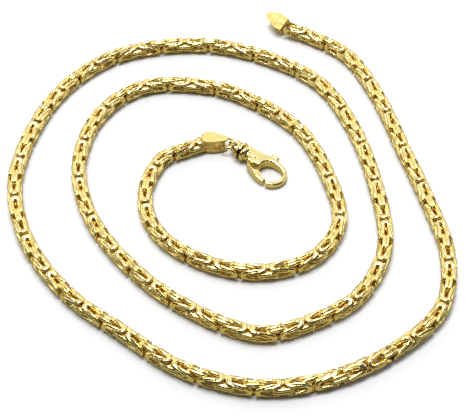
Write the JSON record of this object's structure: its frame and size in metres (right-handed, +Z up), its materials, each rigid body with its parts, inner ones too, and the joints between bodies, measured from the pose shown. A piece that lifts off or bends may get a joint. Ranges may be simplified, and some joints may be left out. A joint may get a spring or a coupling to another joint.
{
  "type": "byzantine chain necklace",
  "caption": "Gold byzantine link chain lying in an open spiral, with a leaf-plated box cap on each end and a swivel lobster clasp whose lever opens inwards",
  "frame": {"origin": "on the surface that the necklace lies on, under the middle of its bounding box", "axes": "+Z up from the surface, +Y away from the viewer of the picture towards the free end, +X to the viewer's right"},
  "size_m": [0.0704, 0.0816, 0.0033],
  "materials": {
    "gold_links": "polished yellow gold with bright flats on the links and dark gaps between them",
    "gold_caps": "satin yellow gold plates",
    "gold_polished": "mirror-polished yellow gold, softly worn"
  },
  "bodies": {
    "necklace": {"chain_inner": "gold_links", "chain_outer": "gold_links", "cap_clasp": "gold_caps", "cap_free": "gold_caps", "jump_ring": "gold_polished", "swivel_base": "gold_polished"},
    "clasp": {"claw": "gold_polished", "rivet": "gold_polished"},
    "lever": {"lever": "gold_polished"}
  },
  "joints": [
    {"name": "clasp_swivel", "type": "hinge", "parent": "necklace", "child": "clasp", "pos_m": [0.0025, 0.00659, 0.0015], "axis": [0.7151, -0.6905, -0.1087], "continuous": true},
    {"name": "lever_hinge", "type": "hinge", "parent": "clasp", "child": "lever", "pos_m": [0.00404, 0.00449, 0.00122], "axis": [0.0782, -0.0755, 0.9941], "range_deg": [0, 20], "stiffness_Nm_per_rad": 0.0015, "springref_deg": -11.46}
  ]
}
